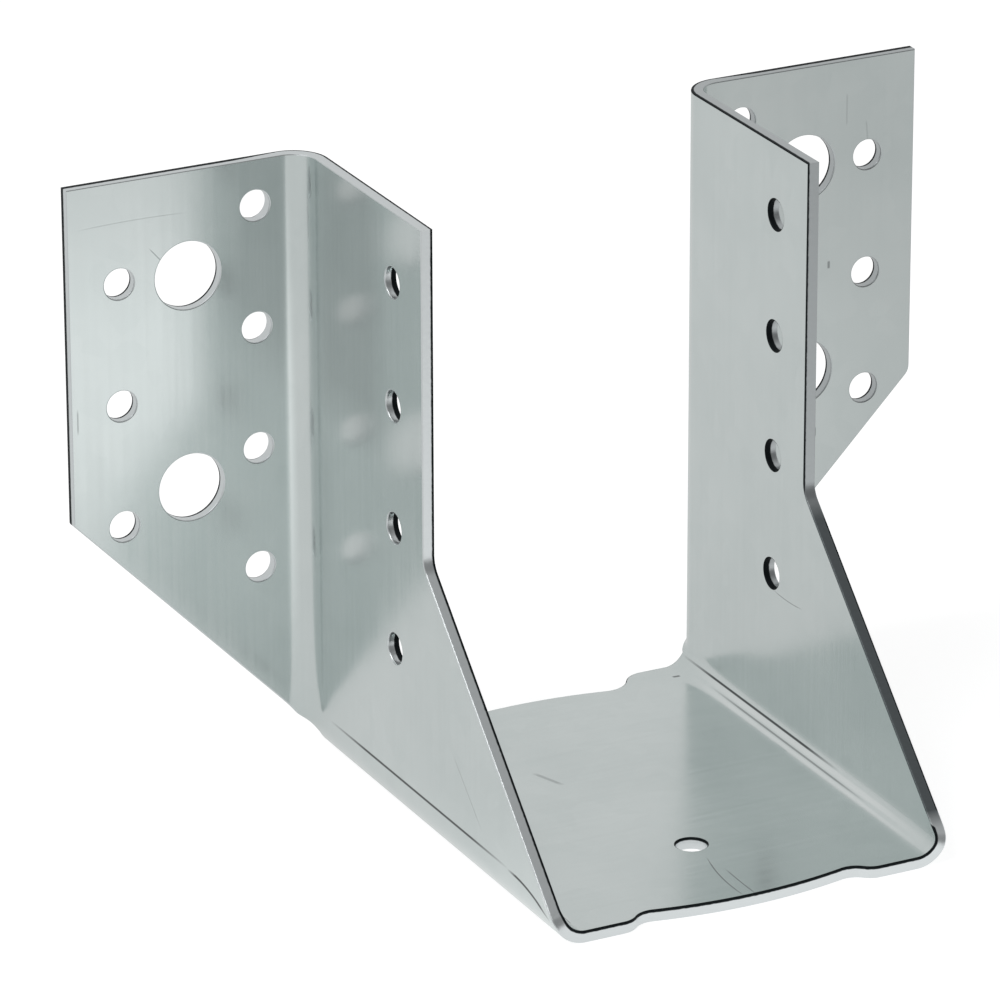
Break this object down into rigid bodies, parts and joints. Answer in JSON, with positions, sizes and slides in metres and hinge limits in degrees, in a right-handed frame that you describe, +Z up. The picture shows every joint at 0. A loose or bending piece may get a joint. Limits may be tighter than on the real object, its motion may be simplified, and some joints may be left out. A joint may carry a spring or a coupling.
{
  "type": "joist hanger",
  "caption": "Face-fixed joist hanger folded from one galvanised steel sheet: flat seat, two side plates with sloped lower fronts, outward flanges with nail and bolt holes.",
  "frame": {"origin": "centre of the hanger's footprint, on the underside of the seat", "axes": "+X across the joist to the right as seen from the front, +Y along the joist towards the header that the flanges are fixed to, +Z up"},
  "size_m": [0.148, 0.086, 0.1],
  "materials": {
    "galvanised_steel": "hot-dip galvanised sheet, smooth and semi-glossy"
  },
  "bodies": {
    "root": {"hanger_body": "galvanised_steel"}
  },
  "joints": []
}
